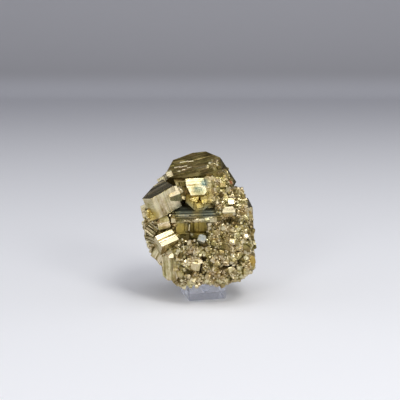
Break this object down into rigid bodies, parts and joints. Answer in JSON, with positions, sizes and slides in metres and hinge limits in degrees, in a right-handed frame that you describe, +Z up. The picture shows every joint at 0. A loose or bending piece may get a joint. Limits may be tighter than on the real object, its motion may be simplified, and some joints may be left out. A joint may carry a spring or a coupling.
{
  "type": "pyrite specimen on stand",
  "caption": "Cluster of intergrown, striated pyrite cubes with a finely grown side, resting corner down in the notch of a small clear acrylic stand.",
  "frame": {"origin": "centre of the acrylic stand's underside, on the surface that it stands on", "axes": "+Z up along the specimen's height, -Y towards the viewer of its front, +X to the viewer's right"},
  "size_m": [0.0576, 0.0482, 0.0724],
  "materials": {
    "pyrite": "natural crystal faces, striated, pale brass to dark olive",
    "acrylic": "polished clear cast acrylic"
  },
  "bodies": {
    "root": {"pyrite_cluster": "pyrite", "acrylic_stand": "acrylic"}
  },
  "joints": []
}
